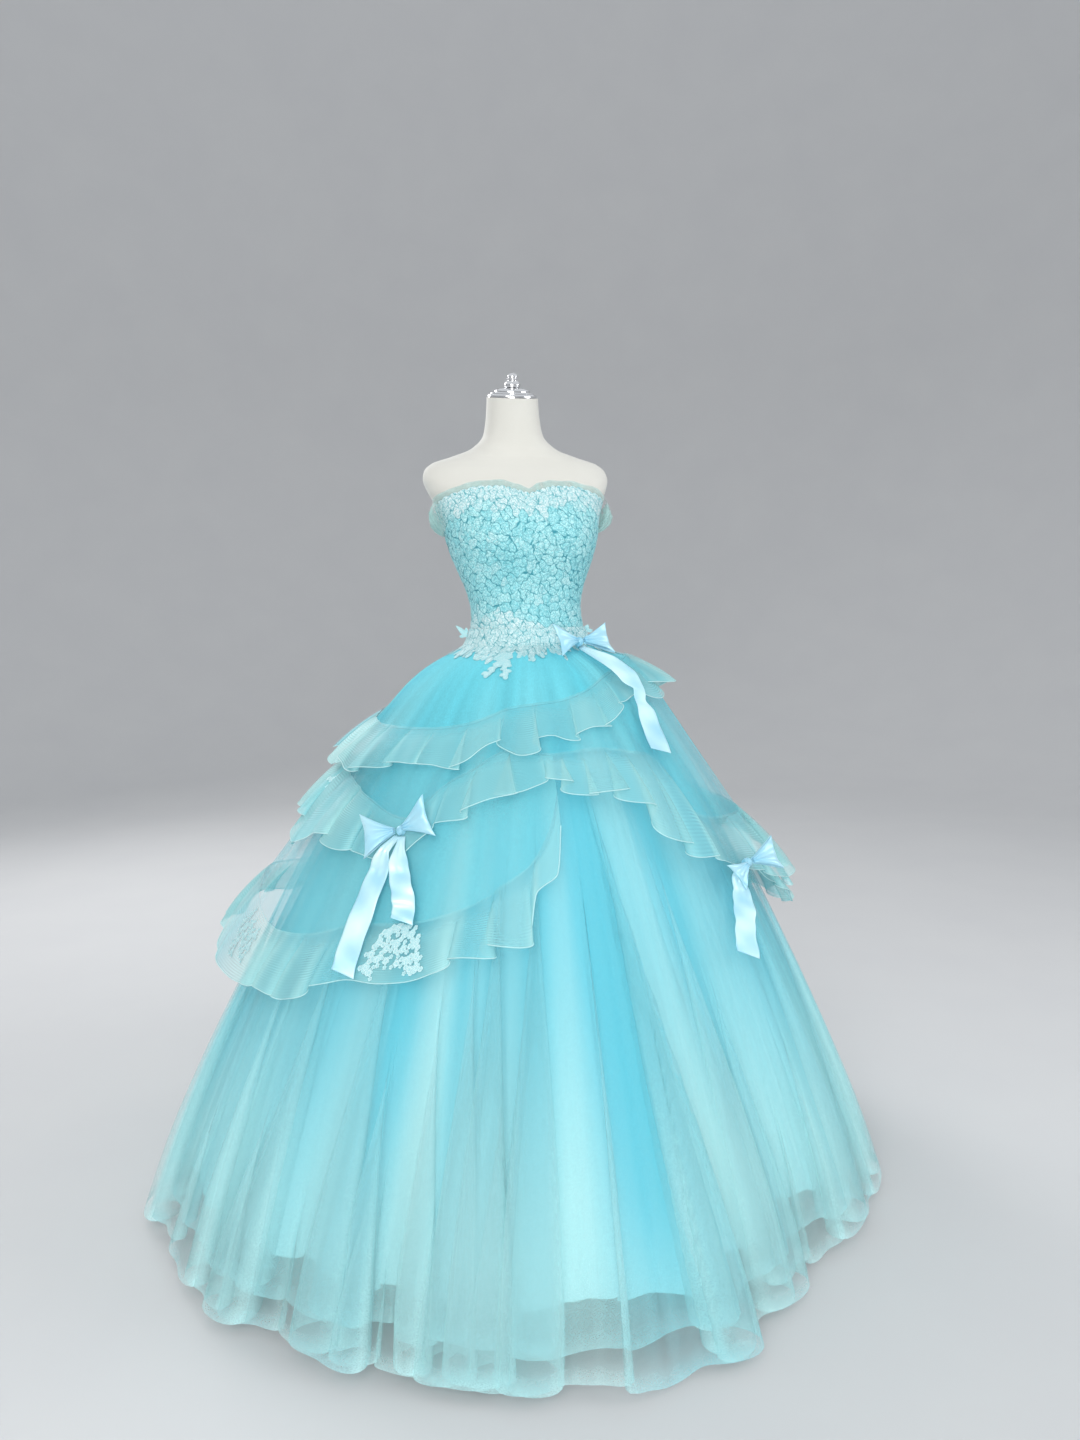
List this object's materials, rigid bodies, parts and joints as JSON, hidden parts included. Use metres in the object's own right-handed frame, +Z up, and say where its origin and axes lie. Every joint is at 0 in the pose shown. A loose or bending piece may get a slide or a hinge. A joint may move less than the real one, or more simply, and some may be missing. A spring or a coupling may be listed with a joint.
{
  "type": "ball gown on a limbless dress form",
  "caption": "Strapless ball gown with a lace bodice, a full tulle skirt, swagged flounces and satin bows, worn by a limbless dress form on a pole and round base.",
  "frame": {"origin": "centre of the stand base's underside, on the floor", "axes": "+Z up along the pole; the gown's front faces -Y and the wearer's left is +X"},
  "size_m": [1.4169, 1.444, 1.5384],
  "materials": {
    "form_cloth": "off-white stretched cover, matt",
    "chrome": "polished",
    "stand_metal": "satin",
    "aqua_lace": "corded floral lace over satin",
    "aqua_tulle": "soft sheer tulle",
    "white_net": "crinkled stiff net",
    "organza": "crisp sheer organza with a rolled edge",
    "white_lace": "corded guipure lace",
    "blue_satin": "ribbon satin, glossy"
  },
  "bodies": {
    "root": {"form_torso": "form_cloth", "form_neck_cap": "chrome", "form_finial": "chrome", "stand_pole": "stand_metal", "stand_base": "stand_metal", "bodice_front": "aqua_lace", "bodice_back_left": "aqua_lace", "bodice_back_right": "aqua_lace", "neckline_band": "organza", "side_puff_left": "organza", "side_puff_right": "organza", "underskirt_net": "white_net", "skirt_tulle": "aqua_tulle", "upper_tier_panel": "aqua_tulle", "middle_tier_panel": "aqua_tulle", "lower_tier_panel": "aqua_tulle", "upper_tier_flounce": "organza", "middle_tier_flounce": "organza", "lower_tier_flounce": "organza", "waist_lace": "white_lace", "waist_motif": "white_lace", "front_motif": "white_lace", "side_motif": "white_lace", "waist_bow_knot": "blue_satin", "waist_bow_loop_left": "blue_satin", "waist_bow_loop_right": "blue_satin", "waist_bow_tail": "blue_satin", "front_bow_knot": "blue_satin", "front_bow_loop_left": "blue_satin", "front_bow_loop_right": "blue_satin", "front_bow_tail_left": "blue_satin", "front_bow_tail_right": "blue_satin", "side_bow_knot": "blue_satin", "side_bow_loop_left": "blue_satin", "side_bow_loop_right": "blue_satin", "side_bow_tail": "blue_satin"}
  },
  "joints": []
}
